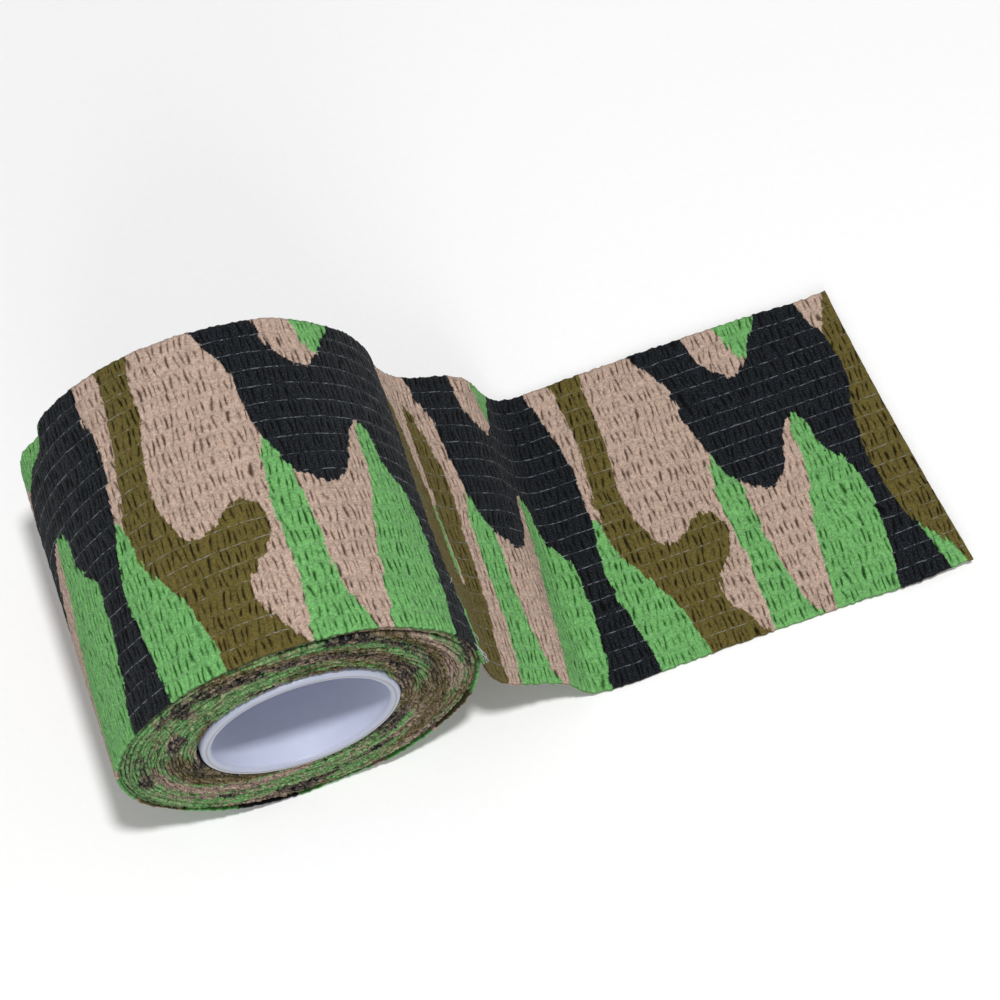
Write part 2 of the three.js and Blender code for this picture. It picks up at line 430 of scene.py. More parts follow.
print_repeat = 45.0
black_left = [(52.6, 53), (54.3, 47.5), (56.8, 42.5), (57.8, 36), (59.4, 29.8), (61.6, 25), (64, 22.8)]
black_left += [(66.6, 22), (69.2, 24.6), (70.4, 28.2), (71.8, 31.4), (73.2, 32.2), (74.6, 30.6)]
black_left += [(75.6, 25.3), (78.6, 21.6), (79.5, 16), (79.3, 8), (78.9, -3)]
black_right = [(85.8, -3), (84.5, 8), (83.2, 17), (84, 28), (83.7, 39), (82, 44.5), (80, 53)]
black_notch = [(75.5, 53), (73, 48.7), (70, 43.8), (67.6, 41.4), (65, 42.4), (62.8, 45.5), (60, 53)]
olive_s = [(39.9, 53), (40.6, 46), (40.9, 39), (40.5, 31), (40.3, 24), (41.8, 18), (44.2, 14.2)]
olive_s += [(46.6, 9), (47.9, 4), (50.2, -3), (59, -3), (56, 3.2), (53.8, 7.5), (54, 11)]
olive_s += [(56.6, 13.8), (57.6, 17.5), (56.4, 20.8), (54, 21.6), (51.8, 19.6), (49.4, 18.2)]
olive_s += [(47, 20.2), (45.2, 24.5), (44.6, 30), (45.1, 40), (44.8, 47), (44.6, 53)]
greens = [
    [(66.3, 53), (67.7, 47.3), (69.2, 44), (71.5, 44), (76, 53)],
    [(59.6, 31.2), (58.4, 27), (58.2, 21), (59, 12), (59.8, -3), (67.5, -3), (64.5, 4), (63.2, 11)]
    + [(62.5, 18), (62, 24), (61, 29)],
    [(73.4, 33.2), (72.4, 29.5), (72.2, 24), (71.2, 18.5), (69.8, 13), (69.1, 7), (69, -3)]
    + [(79.4, -3), (80.1, 12), (79.2, 24), (76, 31)],
    [(39.4, 26.5), (37.5, 20), (37.5, 10), (37.5, -3), (51, -3), (49, 5), (46.5, 12.5), (43.5, 17)]
    + [(41, 22.5)],
]
# The first and the last olive patch of the tail came out another way than the rest: the first
# runs up in a long narrow tongue, and the last has crept up against the black.
first_olive = [(-2.5, 47.5), (-5, 44), (-7.5, 38), (-8, 31), (-8, 20), (-7.2, 12), (-5.6, 8.5)]
first_olive += [(-2.5, 6), (0.2, 2.4), (2.4, -3), (10.4, -3), (10.2, 3), (10.7, 9), (11.1, 16)]
first_olive += [(11.1, 24), (11.0, 32), (9.6, 38.5), (7.8, 43.6), (6.3, 45), (6.2, 39), (6.4, 31)]
first_olive += [(6.3, 25), (6.6, 20), (7.0, 16.5), (6.8, 15), (6.2, 16), (5.6, 19), (5.2, 24)]
first_olive += [(5.1, 30), (4.0, 36), (3.2, 41), (1.6, 45), (0, 47.2)]
first_sliver = [(5.9, 28), (5.2, 24), (5.5, 19), (6.3, 16), (6.7, 17.0), (6.3, 21), (6.2, 25)]
first_black_right = [(-4.2, -3), (-5.5, 8), (-6.5, 17), (-5.8, 28), (-3.6, 36), (-1.9, 42), (-1.8, 47)]
first_black_right += [(-3.4, 53), (-14, 53), (-14, -3)]
first_green = [(-8, 12), (-8, -3), (6, -3), (3, 5), (-2, 9)]
last_black_right = [(85.8, -3), (85.5, 4), (84.4, 8.5), (83, 12), (82, 17), (81.4, 22), (81.7, 28)]
last_black_right += [(83, 33), (83.2, 38), (82.7, 42.5), (81, 46.5), (78.5, 53)]
last_olive = [(84.4, 48.5), (83, 45), (82, 38), (80.5, 28), (80.5, 20), (82, 12), (84.6, 8.4)]
last_olive += [(86.6, 5.6), (88.2, 2.2), (90, -2), (97, 10), (96, 40), (86, 53)]
map_step = 0.25
map_v = np.arange(-3.0, tape_width + 3.0 + map_step, map_step)


def moved(outline, shift):
    return [(s + shift, v) for s, v in outline]


def inside_distance(outlines, map_s):
    """How far each place of the map is inside these outlines, in mm; negative is outside."""
    grid_s, grid_v = np.meshgrid(map_s, map_v, indexing="ij")
    best = np.full(grid_s.shape, -99.0)
    for outline in outlines:
        start = rounded_line(outline, closed=True, per_span=4)
        if start[:, 0].max() < map_s[0] - 4 or start[:, 0].min() > map_s[-1] + 4:
            continue
        end = np.roll(start, -1, axis=0)
        distance = np.full(grid_s.shape, 99.0)
        inside = np.zeros(grid_s.shape, bool)
        for (s1, v1), (s2, v2) in zip(start, end):
            ds, dv = s2 - s1, v2 - v1
            t = np.clip(((grid_s - s1) * ds + (grid_v - v1) * dv) / (ds * ds + dv * dv), 0, 1)
            distance = np.minimum(distance, np.hypot(grid_s - s1 - t * ds, grid_v - v1 - t * dv))
            if v1 != v2:
                crosses = (v1 > grid_v) != (v2 > grid_v)
                inside ^= crosses & (grid_s < s1 + (grid_v - v1) * ds / dv)
        best = np.maximum(best, np.where(inside, distance, -distance))
    return best


black_m = black_left + black_right + black_notch
repeats = (-2 * print_repeat, -print_repeat, 0.0)
repeat_s = np.arange(0, print_repeat, map_step)
tail_s = np.arange(-10, 94, map_step)
repeat_print = {
    "green": inside_distance([moved(o, r) for o in greens for r in repeats], repeat_s),
    "olive": inside_distance([moved(olive_s, r) for r in repeats], repeat_s),
    "black": inside_distance([moved(black_m, r) for r in repeats], repeat_s),
}
tail_greens = [moved(o, r) for o in greens[:3] for r in (-print_repeat, 0.0)]
tail_greens += [greens[3], moved(greens[3], print_repeat)]
tail_print = {
    "green": inside_distance([*tail_greens, first_sliver, first_green], tail_s),
    "olive": inside_distance([first_olive, olive_s, last_olive], tail_s),
    "black": inside_distance(
        [first_black_right, moved(black_m, -print_repeat)]
        + [black_left + last_black_right + black_notch],
        tail_s,
    ),
}


def print_place(u, v):
    """Where on the print a place along the tape is. The tape on the roll is wound stretched, so
    the print is drawn out there, least of all along the back edge."""
    wound = np.minimum(u, 0)
    slack = 0.088 * (1 - 1.3 * eased((-u - 62) / 22)) * (np.clip(v, 0, None) / 47) ** 1.4
    wound = wound * (1 + slack * (u > -84))
    on_roll = wound / 1.18 - 1.1 * (1 - np.exp(wound / 6))
    sideways = 1.1 * (1 - np.exp(wound / 8)) * np.sin(math.pi * v / tape_width)
    return np.where(u < 0, on_roll, u), v - sideways


def read_map(chart, column, v):
    """The value of a map between its points."""
    row = np.clip((v - map_v[0]) / map_step, 0, len(map_v) - 1.001)
    left, low = np.floor(column).astype(int), np.floor(row).astype(int)
    right_share, top_share = column - left, row - low
    left, right = left % len(chart), (left + 1) % len(chart)
    lower = chart[left, low] * (1 - right_share) + chart[right, low] * right_share
    upper = chart[left, low + 1] * (1 - right_share) + chart[right, low + 1] * right_share
    return lower * (1 - top_share) + upper * top_share


def print_at(s, v):
    """The inside distance of each printed colour at places s, v."""
    on_repeat = np.mod(s, print_repeat) / map_step
    on_tail = np.clip((s - tail_s[0]) / map_step, 0, len(tail_s) - 1.001)
    return {
        name: np.where(
            s < -9, read_map(repeat_print[name], on_repeat, v), read_map(tail_print[name], on_tail, v)
        )
        for name in repeat_print
    }


def print_on_crinkle(u, v, seed):
    """The print as the ridges carry it, stepping at each ridge and lane."""
    slit, lane, distance, _ = ridges(u, v, seed)
    ridge = slit * 2 + (distance > 0)
    s, at_v = print_place(u, v)
    s = s + 0.5 * (speck(slit, lane, seed + 7) - 0.5) + 0.25 * (drifting(u / 0.3, v / 0.4, seed) - 0.5)
    at_v = at_v + 0.9 * (speck(ridge, lane, seed + 8) - 0.5)
    return print_at(s, np.clip(at_v, 0, tape_width))


def solid_mesh(name, points, quads, caps=(), attributes=None, places=None, material=None):
    """A mesh from points in mm, four-sided faces and many-sided caps, with its own attributes."""
    mesh = bpy.data.meshes.new(name)
    sizes = np.concatenate([np.full(len(quads), 4), [len(cap) for cap in caps]]).astype(np.int32)
    corners = np.concatenate([np.asarray(quads).ravel(), *caps]).astype(np.int32)
    starts = np.concatenate([[0], np.cumsum(sizes)[:-1]]).astype(np.int32)
    mesh.vertices.add(len(points))
    mesh.vertices.foreach_set("co", (np.asarray(points) * MM).astype(np.float32).ravel())
    mesh.loops.add(len(corners))
    mesh.loops.foreach_set("vertex_index", corners)
    mesh.polygons.add(len(sizes))
    mesh.polygons.foreach_set("loop_start", starts)
    mesh.update(calc_edges=True)
    for key, values in (attributes or {}).items():
        attribute = mesh.attributes.new(key, "FLOAT", "POINT")
        attribute.data.foreach_set("value", np.asarray(values, np.float32).ravel())
    if places is not None:
        attribute = mesh.attributes.new("place", "FLOAT_VECTOR", "POINT")
        attribute.data.foreach_set("vector", np.asarray(places, np.float32).ravel())
    mesh.shade_smooth()
    piece = bpy.data.objects.new(name, mesh)
    bpy.context.scene.collection.objects.link(piece)
    if material:
        mesh.materials.append(material)
    return piece


web_across = 160
hidden_step = 8
face_step, back_step = 0.105, 0.2


def edge_wobble(u, v):
    """How far the cut edges wander sideways."""
    pull = np.abs(v / tape_width - 0.5) * 2
    side = np.sign(v - tape_width / 2)
    slow = (drifting(u / 9, 0 * u, 11) - 0.5) * 0.5
    quick = (drifting(u / 0.55, 0 * u, 12) - 0.5) * 0.22
    drawn_in = 0.5 * eased(-u / 8)
    return pull**6 * (slow + quick * side) - side * pull**3 * drawn_in


def web_points(u, v, side, rise, relief):
    """Points on a web's outer side (side 1 is the face, -1 the back), in mm."""
    x, z, normal_x, normal_z = middle_surface(u, v)
    away = side * (rise + relief)
    y = v + edge_wobble(u, v) - tape_width / 2
    return np.stack([x + away * normal_x, y, z + away * normal_z], axis=-1)


def web(name, start, end, side, inner, material, seed):
    """One web of the tape from start to end, closed all round: a crinkled outer side, and a plain
    inner side at the given height off the middle surface. end may vary across the width."""
    v = np.linspace(0, tape_width, web_across + 1)
    stop = end(v) if callable(end) else np.full(len(v), float(end))
    rows = max(2, round((stop.max() - start) / (face_step if side > 0 else back_step)))
    share = np.linspace(0, 1, rows + 1)[:, None]
    u = start + share * (stop - start)[None, :]
    grid_v = np.broadcast_to(v, u.shape)
    relief, lit_share = crinkle(u, grid_v, seed)
    if side < 0:
        relief = relief * 0.5
    outer = web_points(u, grid_v, side, web_core, relief)
    outer[..., 2] = np.maximum(outer[..., 2], 0)
    hidden = slice(None, None, -hidden_step)
    inside = web_points(u[:, hidden], grid_v[:, hidden], side, inner, 0.0)
    points = np.concatenate([outer, inside], axis=1)
    ring = points.shape[1]
    index = np.arange((rows + 1) * ring).reshape(rows + 1, ring)
    following = np.roll(index, -1, axis=1)
    quads = np.stack([index[:-1], index[1:], following[1:], following[:-1]], axis=-1).reshape(-1, 4)
    caps = cap_faces(index[0]) + [cap[::-1] for cap in cap_faces(index[-1])]
    if side < 0:
        quads = quads[:, ::-1]
        caps = [cap[::-1] for cap in caps]
    printed = print_on_crinkle(u, grid_v, seed)
    attributes = {
        key: np.concatenate([values, values[:, hidden]], axis=1) for key, values in printed.items()
    }
    # Painted shade: the outer side carries the darkening of its slits, and the hidden inner side is
    # darkened further, as shade between the two webs.
    attributes["lit_share"] = np.concatenate([lit_share, lit_share[:, hidden] * 0.3], axis=1)
    places = np.stack([u, grid_v, 0 * u + side], axis=-1)
    places = np.concatenate([places, places[:, hidden]], axis=1)
    made = solid_mesh(name, points.reshape(-1, 3), quads, caps, attributes, places, material)
    (stop.mean() - start) * MM
    return made


def cap_faces(ring):
    """The faces that close one end of a web, between its fine outer side and coarse inner side."""
    fine, coarse = ring[: web_across + 1], ring[web_across + 1 :][::-1]
    faces = []
    for cell in range(len(coarse) - 1):
        outer = fine[cell * hidden_step : (cell + 1) * hidden_step + 1]
        faces.append(np.concatenate([outer, [coarse[cell + 1], coarse[cell]]]))
    return faces


tan_cloth = (0.428, 0.313, 0.250, 1)
green_ink = (0.139, 0.362, 0.112, 1)
olive_ink = (0.105, 0.082, 0.018, 1)
black_ink = (0.0035, 0.0048, 0.0075, 1)


def printed_color(finish, ragged=0.5):
    """The print's colour at a place, with ragged edges where the ink meets the fibres."""
    place = finish.attribute("place").socket("Vector")
    fleck = finish.noise(place, 3.6, 3.0, 0.65)
    color = tan_cloth
    for name, ink in (("green", green_ink), ("olive", olive_ink), ("black", black_ink)):
        distance = finish.attribute(name).signal("Fac")
        share = ((fleck - 0.5) * ragged + distance).between(-0.07, 0.07)
        color = finish.mix(share, color, ink)
    return color, place


def printed_web():
    """The face: matt fibres; painted shade in slits and small pits; pale fibre flecks and painted
    highlight on the ridge tops.
    """
    finish = Finish("printed_web")
    color, place = printed_color(finish)
    lit_share = finish.attribute("lit_share").signal("Fac")
    fibre = finish.noise(place, 5.0, 4.0, 0.75)
    speckle = finish.noise(place, 2.6, 2.0, 0.6)
    cloud = finish.noise(place, 0.30, 2.0)
    # Painted shade: the colour darkens down in the slits and in the small pits. Mottle, fibre and cloud
    # are the cloth's own uneven tone.
    depth = lit_share.between(0.06, 0.85) * 0.74 + 0.26
    pits = speckle.between(0.34, 0.46) * 0.30 + 0.70
    mottle = finish.noise(place, 3.4, 2.0, 0.7).between(0.30, 0.70) * 0.52 + 0.72
    tone = depth * pits * mottle * (fibre.between(0.30, 0.72) * 0.60 + 0.86) * (cloud * 0.24 + 0.90)
    # Painted shade: down in the slits the colour is also made deeper and more saturated.
    slit_shade_tint = finish.node("ShaderNodeGamma", None, {0: color, 1: 1.5 - lit_share.between(0.1, 0.6) * 0.5})
    color = finish.shade(slit_shade_tint.socket(0), tone)
    # Pale flecks on the ridge tops: partly real loose fibre, partly a painted highlight, stronger on the
    # black.
    lint_and_highlight = fibre.between(0.52, 0.68) * lit_share.between(0.35, 0.9)
    dark = finish.attribute("black").signal("Fac").between(-0.1, 0.1)
    color = finish.mix(lint_and_highlight * (dark * 0.06 + 0.09), color, (0.42, 0.50, 0.52, 1))
    return finish.surface(
        Base_Color=color,
        Roughness=fibre * 0.15 + 0.80,
        Normal=finish.bump(fibre + speckle * 0.7, 0.00016, 0.7),
        Sheen_Weight=0.05,
        Sheen_Roughness=0.5,
        Specular_IOR_Level=0.12,
    )


def back_web():
    """The back: the same fabric, where the print only strikes through, with painted shade in the slits.
    """
    finish = Finish("back_web")
    color, place = printed_color(finish, 0.9)
    lit_share = finish.attribute("lit_share").signal("Fac")
    fibre = finish.noise(place, 5.5, 4.0, 0.75)
    color = finish.mix(fibre * 0.25 + 0.28, color, (0.36, 0.30, 0.24, 1))
    # Painted shade: darker down in the slits; fibre is the cloth's own uneven tone.
    tone = (lit_share.between(0.05, 0.8) * 0.5 + 0.52) * (fibre * 0.5 + 0.75)
    return finish.surface(
        Base_Color=finish.shade(color, tone),
        Roughness=fibre * 0.15 + 0.8,
        Normal=finish.bump(fibre, 0.00012, 0.55),
        Sheen_Weight=0.12,
        Sheen_Roughness=0.5,
        Specular_IOR_Level=0.2,
    )


face_finish, back_finish = printed_web(), back_web()

# The outermost turn, from the peel line back round the roll. Made in three lengths.
turn_length = math.radians(357) * (middle_radius - turn_pitch / 4)
for part, (start, end) in {
    "outer_turn_crown": (-turn_length / 3, 0.0),
    "outer_turn_far_side": (-2 * turn_length / 3, -turn_length / 3),
    "outer_turn_under": (-turn_length, -2 * turn_length / 3),
}.items():
    stretch = web(part, start, end, 1, -0.2, face_finish, face_seed)
    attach(stretch, "outer_turn")
    if part == "outer_turn_crown":
        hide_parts("outer_turn")

# The tail: three stretches, one for each crease of the frame.
cut_slant, cut_bow = 3.5, 0.4
peel_x, _, peel_z = (value / MM for value in joints["tail_peel"]["pos_m"])
fold_x = joints["tail_fold"]["pos_m"][0] / MM
crease_x = joints["tail_curl"]["pos_m"][0] / MM
peel_stretch_end, fold_stretch_end = 16.0, 46.0
tail_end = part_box("far_face_web")[1].x / MM


def length_to(x, edge):
    """Length along one edge of the tail to a place on the table."""
    return float(np.interp(x - axis_x, edge[1][200:], edge[0][200:]))


def cut_line(v):
    """Length along the tail to the slanted, slightly hollow cut."""
    across = v / tape_width
    front, back = length_to(tail_end, front_edge), length_to(tail_end - cut_slant, back_edge)
    return front + (back - front) * across - cut_bow * 4 * across * (1 - across)


def point(x, z):
    return (x * MM, 0, z * MM)


# Each stretch: where it starts and ends along the tape, the two bodies that it bends between,
# where the bend starts and ends, and the frame's name for it.
stretches = {
    "peel": (0.0, peel_stretch_end, "outer_turn", "tail_ramp")
    + (point(peel_x, peel_z), point(peel_x + 4.5, 15), "ramp"),
    "fold": (peel_stretch_end, fold_stretch_end, "tail_ramp", "tail_near")
    + (point(fold_x - 6, 8), point(fold_x + 6, 0.3), "near"),
    "curl": (fold_stretch_end, cut_line, "tail_near", "tail_far")
    + (point(crease_x - 1, 0), point(crease_x + 9, 0), "far"),
}
for part, (start, end, first, second, bend_start, bend_end, node) in stretches.items():
    for layer, side, finish, seed in (
        ("face", 1, face_finish, face_seed),
        ("back", -1, back_finish, back_seed),
    ):
        made = web(f"{part}_{layer}_web", start, end, side, 0.02, finish, seed)
        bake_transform(made)
        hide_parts(f"{node}_{layer}_web")

# ---------------------------------------------------------------------------------------------
# The elastic threads. Fine pale rubber threads laid between the webs. The gathered face sinks
# between the ridges onto each one, so it shows as a broken line that runs along the tape.

thread_radius = 0.10
thread_sides = 5
thread_step = 0.3


def elastic_thread():
    """Rubber seen through the web's fibres: mostly the print's colour, here and there bare."""
    finish = Finish("elastic_thread")
    color, place = printed_color(finish)
    # sheen varies the roughness and is also painted into the colour as a patchy sheen.
    sheen = finish.noise(place, 2.2, 3.0)
    bare = finish.noise(place, 1.3, 2.0)
    olive = finish.attribute("olive").signal("Fac")
    dark = finish.attribute("black").signal("Fac").math("MAXIMUM", olive).between(-0.2, 0.2)
    dashes = bare.between(0.44, 0.58) * (dark * 0.17 + 0.07)
    color = finish.mix(dashes + 0.03, color, (0.50, 0.55, 0.60, 1))
    return finish.surface(
        Base_Color=finish.shade(color, sheen * 0.6 + 0.60),
        Roughness=sheen * 0.3 + 0.40,
        Specular_IOR_Level=0.3,
    )


def tube_faces(rows, sides, base):
    """The faces of a closed tube whose rings of points start at a number: sides, then caps."""
    index = base + np.arange(rows * sides).reshape(rows, sides)
    following = np.roll(index, -1, axis=1)
    quads = np.stack([index[:-1], following[:-1], following[1:], index[1:]], axis=-1).reshape(-1, 4)
    return quads, [index[0][::-1], index[-1]]


def threads(name, start, end, material, seed):
    """All the threads of one stretch of tape, lying in the valleys of the face."""
    corners = np.arange(thread_sides) * 2 * math.pi / thread_sides
    points, quads, caps, shades, places = [], [], [], [], []
    base = 0
    for place in thread_places:
        stop = float(end(np.array([place]))[0]) - 0.2 if callable(end) else end
        rows = max(2, round((stop - start) / thread_step))
        u = np.linspace(start, stop, rows + 1)[:, None]
        v = place + 0.16 * (drifting(u / 1.7, 0 * u + place, 17) - 0.5)
        x, z, normal_x, normal_z = middle_surface(u, v + 0 * u)
        relief, _ = crinkle(u, 0 * u + place, seed)
        up = web_core + relief - 0.045 + 0.11 * (drifting(u / 1.0, 0 * u + place, 19) - 0.5)
        up = up + thread_radius * np.sin(corners)[None, :]
        y = v + edge_wobble(u, v) - tape_width / 2 + thread_radius * np.cos(corners)[None, :]
        points.append(np.stack([x + up * normal_x, y, z + up * normal_z], axis=-1).reshape(-1, 3))
        tube_sides, tube_caps = tube_faces(rows + 1, thread_sides, base)
        quads.append(tube_sides)
        caps += tube_caps
        shades.append(np.repeat(u.ravel(), thread_sides))
        places.append(np.full((rows + 1) * thread_sides, place))
        base += (rows + 1) * thread_sides
    u, v = np.concatenate(shades), np.concatenate(places)
    attributes = print_at(*print_place(u, v))
    where = np.stack([u, v, 0 * u], axis=-1)
    points, quads = np.concatenate(points), np.concatenate(quads)
    return solid_mesh(name, points, quads, caps, attributes, where, material)


thread_finish = elastic_thread()
turn_threads = threads("outer_turn_threads", -turn_length, 0.0, thread_finish, face_seed)
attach(turn_threads, "outer_turn")
for part, (start, end, first, second, bend_start, bend_end, node) in stretches.items():
    made = threads(f"{part}_threads", start, end, thread_finish, face_seed)
    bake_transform(made)
    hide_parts(*[name for name in frame["nodes"] if name.startswith(f"{node}_thread_")])

# Where the tape was cut to width some fibres of the front edge have come loose, and one thread
# end lies on the face just before the peel line. Each is (u, v) at its root and tip, and its rise.
loose_fibres = [(-3.4, 3.6, -1.3, 2.7, 0.35), (-5.6, 0.5, -4.9, -0.9, 0.5), (-4.7, 0.4, -4.9, -1.0, 0.3)]
loose_fibres += [(-3.9, 0.5, -2.9, -0.7, 0.6), (-3.0, 0.4, -3.3, -1.1, 0.4), (-2.1, 0.5, -0.9, -0.5, 0.6)]
loose_fibres += [(-6.4, 0.6, -7.0, -0.6, 0.4), (-1.2, 0.4, -1.6, -0.8, 0.3), (-7.6, 9.5, -7.1, 10.6, 0.5)]
fibre_radius, fibre_sides, fibre_rows = 0.045, 4, 9


def loose_fibre_mesh(name, material):
    """The loose fibres: thin tubes, each rising off the face in an arc."""
    t = np.linspace(0, 1, fibre_rows)
    corners = (np.arange(fibre_sides) * 2 * math.pi / fibre_sides)[None, :, None]
    points, quads, caps = [], [], []
    for number, (u1, v1, u2, v2, rise) in enumerate(loose_fibres):
        u = u1 + (u2 - u1) * t + 0.35 * np.sin(t * 5 + number) * t * (1 - t) * 2
        v = v1 + (v2 - v1) * t**0.8
        x, z, normal_x, normal_z = middle_surface(u, v)
        up = web_core + 0.12 + rise * np.sin(t * 2.3)
        line = np.stack([x + up * normal_x, v - tape_width / 2, z + up * normal_z], -1)
        along = np.gradient(line, axis=0)
        side = np.cross(along, np.stack([normal_x, 0 * t, normal_z], -1))
        side /= np.linalg.norm(side, axis=1)[:, None]
        over = np.cross(along, side)
        over /= np.linalg.norm(over, axis=1)[:, None]
        around = np.cos(corners) * side[:, None] + np.sin(corners) * over[:, None]
        points.append((line[:, None] + fibre_radius * around).reshape(-1, 3))
        tube_sides, tube_caps = tube_faces(fibre_rows, fibre_sides, number * fibre_rows * fibre_sides)
        quads.append(tube_sides)
        caps += tube_caps
    where = np.concatenate(points)
    return solid_mesh(name, where, np.concatenate(quads), caps, None, where, material)


def pale_fibre():
    finish = Finish("loose_fibre")
    place = finish.attribute("place").socket("Vector")
    tuft = finish.noise(place, 3.0, 2.0)
    return finish.surface(
        Base_Color=finish.mix(tuft, (0.30, 0.33, 0.33, 1), (0.52, 0.55, 0.54, 1)),
        Roughness=tuft * 0.3 + 0.5,
    )


loose = loose_fibre_mesh("loose_fibres", pale_fibre())
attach(loose, "outer_turn")

# ---------------------------------------------------------------------------------------------
# The winding. Some twenty turns of the same tape, drawn tight so that their webs are pressed
# together. Only their cut edges show, at the two end faces: soft, wavy rims in whichever colour
# the print has there, each turn standing a little proud of its neighbour or behind it.

edge_step = 0.22
wound_start = core_outer + 0.1
wound_end = 25.36


def cut_edge():
    """Cut fibres: the print's colours worn and mixed, bare cloth between, painted shade in the gaps
    below.
    """
    finish = Finish("cut_edge")
    color, place = printed_color(finish, 3.0)
    lit_share = finish.attribute("lit_share").signal("Fac")
    fibre = finish.noise(place, 3.6, 4.0, 0.8)
    tuft = finish.noise(place, 1.6, 3.0, 0.7)
    smear = finish.noise(place, 0.35, 3.0, 0.6)
    bare = (tuft * 0.6 + smear * 0.5).between(0.50, 0.64)
    color = finish.mix(bare * 0.62, color, (0.33, 0.24, 0.175, 1))
    color = finish.mix(fibre.between(0.50, 0.70) * 0.26, color, (0.42, 0.46, 0.36, 1))
    streak = finish.noise(place, 0.8, 2.0).between(0.36, 0.46) * 0.6 + 0.4
    # Painted shade: the colour darkens where the edge is sunk, in the gaps between turns.
    tone = (lit_share.between(0.12, 0.9) * 0.92 + 0.06) * (fibre.between(0.36, 0.64) * 1.1 + 0.45) * streak
    return finish.surface(
        Base_Color=finish.shade(color, tone),
        Roughness=0.92,
        Normal=finish.bump(fibre, 0.00025, 0.8),
        Sheen_Weight=0.04,
        Specular_IOR_Level=0.1,
    )


# The rounded outline of a cut edge: share of the thickness, and how far it is sunk, in mm.
strip_sections = [(0.0, 0.66), (0.05, 0.24), (0.3, 0.08), (0.52, 0.0)]
strip_sections += [(0.75, 0.08), (0.95, 0.24), (1.0, 0.66)]
# Which noise each colour's stains on the end faces follow, and the level it starts at.
stains = {"green": (70, 0.33), "olive": (80, 0.68), "black": (90, 0.76)}
# Where the black lies in thick spots on the front face: degrees round the axis, radius, length.
spots = [(20, 17.5, 2.2), (66, 23.5, 3.6), (108, 22, 3.0), (154, 18.5, 2.4), (-172, 15.2, 2.8)]
spots += [(-174, 23, 2.6), (-128, 21, 2.0), (-96, 22.5, 2.6), (-60, 19.5, 2.4), (132, 21.0, 1.6)]
spot_width = 1.1


def dark_spots(angle, radius):
    """How black the thick spots make a place on the front face."""
    total = 0
    for degrees, at_radius, length in spots:
        turned = np.mod(angle - math.radians(degrees) + math.pi, 2 * math.pi) - math.pi
        along, across = turned * at_radius / length, (radius - at_radius) / spot_width
        total = total + np.exp(-(along**2) - across**2)
    return total


def wound_strip(name, angle, inner, outer, path, back_dip, material, seed):
    """Pressed turns of tape along a spiral, with ragged, wavy and uneven cut edges. Each step has
    an angle, an inner and an outer radius and a length along the tape. back_dip is how far the
    strip's inner and outer side lie nearer the axis at its back edge."""
    turn = angle / (2 * math.pi)
    wave = drifting(path / 0.55, np.floor(turn), seed) - 0.5
    points, lit_shares, places, printed = [], [], [], {key: [] for key in stains}
    for side in (-1, 1):
        uneven = 0.30 * (drifting(turn, 0 * turn + side, seed + 1) - 0.5)
        uneven += 0.26 * (speck(np.floor(turn), 3 + side, seed + 2) - 0.5)
        worn = 0.50 * eased((outer - 23.6) / 2.4) + 0.10
        order = strip_sections if side < 0 else strip_sections[::-1]
        for number, (share, sunk) in enumerate(order):
            ragged = 0.44 * (drifting(path / 0.26, turn * 3 + number * 2.3, seed + 3 + side) - 0.5)
            clump = 0.22 * (drifting(path / 1.3, turn * 2 + number * 0.4, seed + 9) - 0.5)
            y = side * (tape_width / 2 - 0.22 - worn + uneven + ragged + clump - sunk)
            radius = inner + (outer - inner) * share + 0.20 * wave * (sunk < 0.5)
            if side > 0:
                radius = radius - back_dip[0] * (1 - share) - back_dip[1] * share
            points.append(
                np.stack([axis_x + radius * np.cos(angle), y, axis_z + radius * np.sin(angle)], -1)
            )
            # Painted shade: the sunk parts of the rounded edge, by the gaps between turns, and the ragged
            # fibres that lie back are made darker.
            lit_shares.append(np.clip(1.0 - 1.1 * sunk + 1.1 * ragged, 0, 1))
            across = 0 * path + (0.0 if side < 0 else tape_width) + share * 0.5
            places.append(np.stack([path, across, angle], -1))
            stain_x, stain_z = 2.6 * np.cos(angle) + 0.42 * radius, 2.6 * np.sin(angle) - 0.42 * radius
            fleck = speck(np.floor(path / 0.45 + number * 0.37), turn * 2 + number * 0.5, seed + 5) - 0.5
            for key, (which, low) in stains.items():
                stain = drifting(stain_x, stain_z, which + side) + 0.32 * fleck
                outermost = eased((radius - 23.4) / 1.2) * (np.cos(angle - math.radians(150)) > 0.2)
                stain = stain + (0.4 if key == "green" else -0.25) * outermost
                if key == "black" and side < 0:
                    stain = stain + dark_spots(angle, radius)
                printed[key].append((stain - low) * 4)
    points = np.stack(points, axis=1)
    ring = points.shape[1]
    index = np.arange(points.shape[0] * ring).reshape(-1, ring)
    following = np.roll(index, -1, axis=1)
    quads = np.stack([index[:-1], index[1:], following[1:], following[:-1]], axis=-1).reshape(-1, 4)
    caps = [index[0], index[-1][::-1]]
    places = np.stack(places, axis=1).reshape(-1, 3)
    attributes = {key: np.stack(values, axis=1).ravel() for key, values in printed.items()}
    attributes["lit_share"] = np.stack(lit_shares, axis=1).ravel()
    return solid_mesh(name, points.reshape(-1, 3), quads, caps, attributes, places, material)


def wander(turns, angle):
    """How far a turn lies off the even spiral: the tape wasn't wound at an even pull."""
    near_ends = np.clip(turns / 2, 0, 1) * np.clip((turn_total - turns) / 2, 0, 1)
    drift = drifting(turns * 0.7 + 2.2 * np.cos(angle), turns * 0.23 + 2.2 * np.sin(angle), 61)
    return 0.7 * near_ends * (drift - 0.5)


def spiral(first_turn, last_turn):
    """Steps along the winding, from the core outwards: turns counted from the core."""
    length = 2 * math.pi * (wound_start + turn_pitch * (first_turn + last_turn) / 2)
    steps = round((last_turn - first_turn) * length / edge_step)
    turns = np.linspace(first_turn, last_turn, steps + 1)
    inner = wound_start + turn_pitch * turns
    return turns, inner


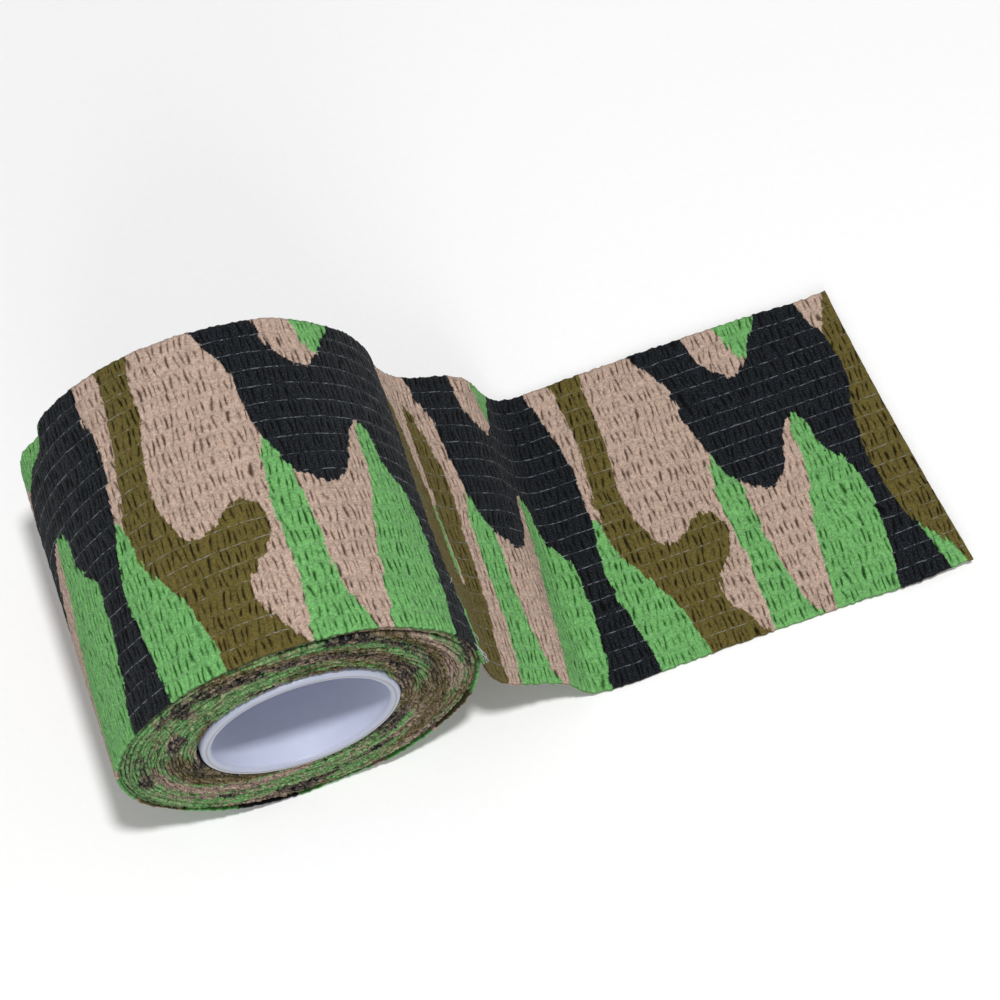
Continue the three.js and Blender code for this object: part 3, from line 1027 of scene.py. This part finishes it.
cut_finish = cut_edge()
turn_total = (wound_end - turn_pitch - wound_start) / turn_pitch
halfway = turn_total * 0.56
for name, (first, last) in {
    "wound_inner_turns": (0.0, halfway),
    "wound_outer_turns": (halfway, turn_total),
}.items():
    turns, inner = spiral(first, last)
    angle = -2 * math.pi * (turns - turn_total) + math.radians(90)
    outer = inner + turn_pitch + wander(turns + 1, angle) - 0.04
    inner = inner + wander(turns, angle)
    outer = np.where(turns > turn_total - 1, wound_end - 0.04, outer)
    mean_radius = wound_start + turn_pitch * (turns + turn_total) / 2
    path = -turn_length - 2 * math.pi * mean_radius * (turn_total - turns)
    back_dip = (shoulder + dent_depth + 0.12) * np.clip((inner - 16) / 8, 0, 1) ** 2
    made = wound_strip(name, angle, inner, outer, path, (back_dip, back_dip), cut_finish, 40)
    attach(made, "roll")
    abs(path[-1] - path[0]) * MM
    if name == "wound_outer_turns":
        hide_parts("wound_tape")

# The turn next to the outermost one turns with it. At its back edge it reaches down to the rest.
second_length, second_steps = math.radians(356), 1500
angle = np.linspace(0, second_length, second_steps)[::-1]
inner = np.full(second_steps, wound_end + 0.07)
outer = middle_radius - turn_pitch * angle / (2 * math.pi) - 0.2
path = -turn_length - angle * 25.5
back_dip = (shoulder + dent_depth, back_edge_dip(angle))
second = wound_strip("second_turn", angle, inner, outer, path, back_dip, cut_finish, 50)
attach(second, "outer_turn")

# ---------------------------------------------------------------------------------------------
# The studio. A pale table top, one broad soft light overhead, a weaker one in front, and an
# even white surround. The camera looks down on the roll from the front and a little left.

camera_aim = Vector((1.7, 9.6, 0)) * MM
camera_distance = 460 * MM
camera_azimuth, camera_elevation, camera_roll = map(math.radians, (-11.75, 64.70, 8.19))
camera_data = bpy.data.cameras.new("camera")
camera_data.lens = 110.2
camera_data.sensor_width = 36
camera_data.clip_start = 0.01
camera = bpy.data.objects.new("camera", camera_data)
bpy.context.scene.collection.objects.link(camera)
level = math.cos(camera_elevation)
back = Vector(
    (math.sin(camera_azimuth) * level, -math.cos(camera_azimuth) * level, math.sin(camera_elevation))
)
camera.rotation_mode = "QUATERNION"
tilt = Matrix.Rotation(-camera_roll, 4, "Z").to_quaternion()
camera.rotation_quaternion = (-back).to_track_quat("-Z", "Y") @ tilt
camera.location = camera_aim + back * camera_distance
bpy.context.scene.camera = camera


def soft_light(name, location, aim, size, power):
    data = bpy.data.lights.new(name, "AREA")
    data.shape = "DISK"
    data.size = size
    data.energy = power
    light = bpy.data.objects.new(name, data)
    light.location = location
    light.rotation_mode = "QUATERNION"
    light.rotation_quaternion = (Vector(aim) - Vector(location)).to_track_quat("-Z", "Y")
    bpy.context.scene.collection.objects.link(light)


soft_light("overhead", (0.04, -0.15, 0.78), (0, 0, 0), 0.07, 4.3)
soft_light("front_fill", (-0.15, -0.8, 0.45), (0, 0, 0.02), 0.6, 2.2)
world = bpy.data.worlds.new("surround")
world.use_nodes = True
world.node_tree.nodes["Background"].inputs["Color"].default_value = (1, 1, 1, 1)
world.node_tree.nodes["Background"].inputs["Strength"].default_value = 0.34
bpy.context.scene.world = world
bpy.context.scene.view_settings.view_transform = "Standard"

bpy.ops.mesh.primitive_plane_add(size=6, location=(0, 0, -0.0002))
table = bpy.context.object
table.name = "table"
paper = Finish("pale_paper")
paper_grain = paper.noise(paper.node("ShaderNodeTexCoord").socket("Object"), 900.0, 3.0)
table.data.materials.append(
    paper.surface(
        Base_Color=paper.mix(paper_grain, (0.90, 0.90, 0.90, 1), (0.93, 0.93, 0.93, 1)),
        Roughness=0.9,
        Specular_IOR_Level=0.1,
    )
)
